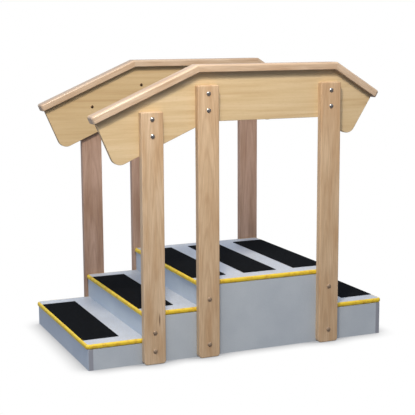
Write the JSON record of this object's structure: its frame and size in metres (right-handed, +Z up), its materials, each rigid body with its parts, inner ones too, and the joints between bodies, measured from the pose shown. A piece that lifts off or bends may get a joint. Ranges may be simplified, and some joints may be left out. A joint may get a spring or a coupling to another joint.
{
  "type": "training stairs",
  "caption": "Training stairs: low steps up to a platform, a taller step down, and a capped wooden handrail along each side.",
  "frame": {"origin": "centre of the footprint, on the floor", "axes": "+X along the walk towards the taller step, +Y across the walk, +Z up"},
  "size_m": [1.31, 0.815, 1.155],
  "materials": {
    "panel_laminate": "satin",
    "tread_laminate": "satin",
    "edge_moulding": "satin",
    "antislip_strip": "matte",
    "post_maple": "satin",
    "rail_plywood": "satin",
    "cap_maple": "satin",
    "batten_wood": "matte",
    "fastener_steel": "satin",
    "fastener_bronze": "satin"
  },
  "bodies": {
    "root": {"base_bolts": "fastener_steel", "base_nuts": "fastener_steel", "base_washers": "fastener_steel", "cap_left_far": "cap_maple", "cap_left_near": "cap_maple", "cap_level_far": "cap_maple", "cap_level_near": "cap_maple", "cap_right_far": "cap_maple", "cap_right_near": "cap_maple", "cleat_end_step_far": "batten_wood", "cleat_end_step_near": "batten_wood", "cleat_first_step_far": "batten_wood", "cleat_first_step_near": "batten_wood", "cleat_platform_far": "batten_wood", "cleat_platform_near": "batten_wood", "cleat_second_step_far": "batten_wood", "cleat_second_step_near": "batten_wood", "edge_moulding_end_step": "edge_moulding", "edge_moulding_first_step": "edge_moulding", "edge_moulding_platform": "edge_moulding", "edge_moulding_second_step": "edge_moulding", "mat_end_step": "antislip_strip", "mat_first_step": "antislip_strip", "mat_platform_left": "antislip_strip", "mat_platform_middle": "antislip_strip", "mat_platform_right": "antislip_strip", "mat_second_step": "antislip_strip", "platform_rib": "batten_wood", "post_platform_left_far": "post_maple", "post_platform_left_near": "post_maple", "post_platform_right_far": "post_maple", "post_platform_right_near": "post_maple", "post_second_step_far": "post_maple", "post_second_step_near": "post_maple", "rail_board_far": "rail_plywood", "rail_board_near": "rail_plywood", "rail_bolts": "fastener_steel", "rail_sleeve_nuts": "fastener_bronze", "riser_end_step": "panel_laminate", "riser_first_step": "panel_laminate", "riser_platform_left": "panel_laminate", "riser_platform_right": "panel_laminate", "riser_second_step": "panel_laminate", "side_end_step_far": "panel_laminate", "side_end_step_near": "panel_laminate", "side_first_step_far": "panel_laminate", "side_first_step_near": "panel_laminate", "side_platform_far": "panel_laminate", "side_platform_near": "panel_laminate", "side_second_step_far": "panel_laminate", "side_second_step_near": "panel_laminate", "tread_end_step": "tread_laminate", "tread_first_step": "tread_laminate", "tread_platform": "tread_laminate", "tread_screws": "fastener_steel", "tread_second_step": "tread_laminate"}
  },
  "joints": []
}
